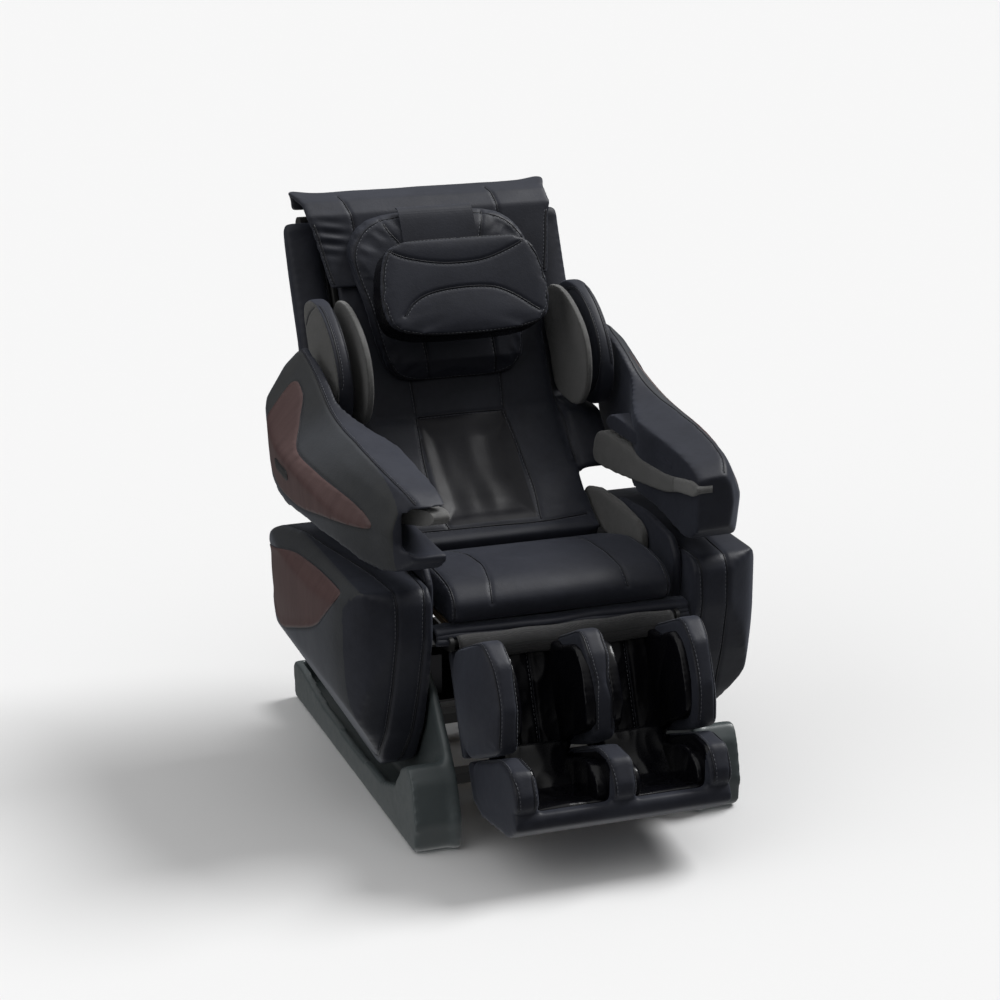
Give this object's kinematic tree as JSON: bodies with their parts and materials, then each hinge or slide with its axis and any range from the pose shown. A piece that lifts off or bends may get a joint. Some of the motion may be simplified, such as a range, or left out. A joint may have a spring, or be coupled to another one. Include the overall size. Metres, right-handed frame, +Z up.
{
  "type": "massage chair",
  "caption": "Reclining massage chair with padded seat, backrest and pillow, C-shaped arms, shoulder discs, calf and foot rests, side panels and base skirts.",
  "frame": {"origin": "on the floor, below the middle of the chair's bounding box", "axes": "+Z up; the chair faces -Y; +X is the sitter's left"},
  "size_m": [0.9574, 1.3611, 1.1627],
  "materials": {
    "black_leather": "satin",
    "lining_leather": "gloss",
    "side_leather": "satin",
    "wood_trim": "satin",
    "skirt_plastic": "satin",
    "grey_fabric": "matte",
    "dark_plastic": "satin",
    "actuator_plastic": "matte",
    "frame_steel": "semi-matte paint",
    "bright_steel": "satin",
    "carriage_metal": "matte",
    "roller_rubber": "matte",
    "dark_rubber": "matte",
    "pan_wood": "raw"
  },
  "bodies": {
    "base": {"base_frame": "frame_steel", "skirt_left": "skirt_plastic", "skirt_right": "skirt_plastic", "rear_cover": "dark_plastic", "power_box": "actuator_plastic", "air_pump": "actuator_plastic", "mains_inlet": "dark_plastic", "rubber_feet": "dark_rubber", "tilt_tube": "actuator_plastic"},
    "wheel_left": {"wheel_left": "dark_rubber"},
    "wheel_right": {"wheel_right": "dark_rubber"},
    "power_switch": {"power_switch": "dark_plastic"},
    "tilt_rod": {"tilt_rod": "bright_steel"},
    "seat": {"seat_frame": "frame_steel", "seat_pan": "pan_wood", "seat_cushion": "black_leather", "seat_flap": "black_leather", "side_panel_left": "side_leather", "side_panel_right": "side_leather", "panel_wood_left": "wood_trim", "panel_wood_right": "wood_trim", "side_bolster_left": "black_leather", "side_bolster_right": "black_leather", "hip_pad_left": "grey_fabric", "hip_pad_right": "grey_fabric", "arm_brackets": "frame_steel", "recline_tube": "actuator_plastic", "leg_tube": "actuator_plastic"},
    "recline_rod": {"recline_rod": "bright_steel"},
    "leg_rod": {"leg_rod": "bright_steel"},
    "arm_left": {"arm_shell_left": "side_leather", "arm_wood_left": "wood_trim", "hand_pad_left": "grey_fabric", "hand_airbag_left": "black_leather"},
    "arm_right": {"arm_shell_right": "side_leather", "arm_wood_right": "wood_trim", "hand_pad_right": "grey_fabric", "hand_airbag_right": "black_leather"},
    "back": {"back_frame": "frame_steel", "massage_track": "bright_steel", "back_cushion": "black_leather", "back_cover": "black_leather", "head_pad": "black_leather", "back_shell": "dark_plastic", "shoulder_inner_left": "grey_fabric", "shoulder_inner_right": "grey_fabric", "shoulder_outer_left": "black_leather", "shoulder_outer_right": "black_leather"},
    "pillow": {"pillow": "black_leather"},
    "carriage": {"massage_carriage": "carriage_metal"},
    "knead_left": {"knead_arm_left": "carriage_metal"},
    "knead_right": {"knead_arm_right": "carriage_metal"},
    "roller_upper_left": {"roller_upper_left": "roller_rubber"},
    "roller_lower_left": {"roller_lower_left": "roller_rubber"},
    "roller_upper_right": {"roller_upper_right": "roller_rubber"},
    "roller_lower_right": {"roller_lower_right": "roller_rubber"},
    "leg_rest": {"calf_shell": "lining_leather", "calf_pads": "black_leather"},
    "foot_rest": {"foot_shell": "lining_leather", "foot_pads": "black_leather"}
  },
  "joints": [
    {"name": "seat_tilt", "type": "hinge", "parent": "base", "child": "seat", "pos_m": [0, 0.38, 0.22], "axis": [-1, 0, 0], "range_deg": [0, 12]},
    {"name": "tilt_rod_slide", "type": "slide", "parent": "base", "child": "tilt_rod", "axis": [0, 0.3821, 0.9241], "range_m": [0, 0.0965]},
    {"name": "back_recline", "type": "hinge", "parent": "seat", "child": "back", "pos_m": [0, 0.13, 0.43], "axis": [-1, 0, 0], "range_deg": [-5, 40]},
    {"name": "recline_rod_slide", "type": "slide", "parent": "seat", "child": "recline_rod", "axis": [0, -1, 0], "range_m": [-0.0068, 0.0522]},
    {"name": "arm_left_swing", "type": "hinge", "parent": "seat", "child": "arm_left", "pos_m": [0.347, -0.15, 0.582], "axis": [-1, 0, 0], "range_deg": [-1.1, 8.1]},
    {"name": "arm_right_swing", "type": "hinge", "parent": "seat", "child": "arm_right", "pos_m": [-0.347, -0.15, 0.582], "axis": [-1, 0, 0], "range_deg": [-1.1, 8.1]},
    {"name": "leg_rest_raise", "type": "hinge", "parent": "seat", "child": "leg_rest", "pos_m": [0, -0.34, 0.41], "axis": [-1, 0, 0], "range_deg": [-12, 67]},
    {"name": "leg_rod_slide", "type": "slide", "parent": "seat", "child": "leg_rod", "axis": [0, -1, 0], "range_m": [-0.0228, 0.1256]},
    {"name": "foot_rest_extend", "type": "slide", "parent": "leg_rest", "child": "foot_rest", "axis": [0, -0.3907, -0.9205], "range_m": [0, 0.08]},
    {"name": "carriage_travel", "type": "slide", "parent": "back", "child": "carriage", "axis": [0, 0.454, 0.891], "range_m": [-0.08, 0.27]},
    {"name": "knead_left_swing", "type": "hinge", "parent": "carriage", "child": "knead_left", "pos_m": [0.064, 0.41962, 0.72201], "axis": [-1, 0, 0], "range_deg": [-6, 6]},
    {"name": "knead_right_swing", "type": "hinge", "parent": "carriage", "child": "knead_right", "pos_m": [-0.064, 0.41962, 0.72201], "axis": [-1, 0, 0], "range_deg": [-6, 6]},
    {"name": "pillow_flip", "type": "hinge", "parent": "back", "child": "pillow", "pos_m": [0, 0.512, 1.136], "axis": [-1, 0, 0], "range_deg": [0, 100]},
    {"name": "power_switch_rock", "type": "hinge", "parent": "base", "child": "power_switch", "pos_m": [-0.061, 0.484, 0.08], "axis": [-1, 0, 0], "range_deg": [0, 8]},
    {"name": "wheel_left_spin", "type": "hinge", "parent": "base", "child": "wheel_left", "pos_m": [0.247, 0.455, 0.036], "axis": [-1, 0, 0], "continuous": true},
    {"name": "wheel_right_spin", "type": "hinge", "parent": "base", "child": "wheel_right", "pos_m": [-0.247, 0.455, 0.036], "axis": [-1, 0, 0], "continuous": true},
    {"name": "roller_upper_left_spin", "type": "hinge", "parent": "knead_left", "child": "roller_upper_left", "pos_m": [0.045, 0.42677, 0.78009], "axis": [-1, 0, 0], "continuous": true},
    {"name": "roller_upper_right_spin", "type": "hinge", "parent": "knead_right", "child": "roller_upper_right", "pos_m": [-0.045, 0.42677, 0.78009], "axis": [-1, 0, 0], "continuous": true},
    {"name": "roller_lower_left_spin", "type": "hinge", "parent": "knead_left", "child": "roller_lower_left", "pos_m": [0.045, 0.37683, 0.68208], "axis": [-1, 0, 0], "continuous": true},
    {"name": "roller_lower_right_spin", "type": "hinge", "parent": "knead_right", "child": "roller_lower_right", "pos_m": [-0.045, 0.37683, 0.68208], "axis": [-1, 0, 0], "continuous": true}
  ],
  "couplings": [
    {"joint": "tilt_rod_slide", "follows": "seat_tilt", "m_per_rad": 0.4579},
    {"joint": "recline_rod_slide", "follows": "back_recline", "m_per_rad": 0.0737},
    {"joint": "arm_left_swing", "follows": "back_recline", "ratio": 0.2},
    {"joint": "arm_right_swing", "follows": "back_recline", "ratio": 0.2},
    {"joint": "leg_rod_slide", "follows": "leg_rest_raise", "m_per_rad": 0.1071}
  ]
}
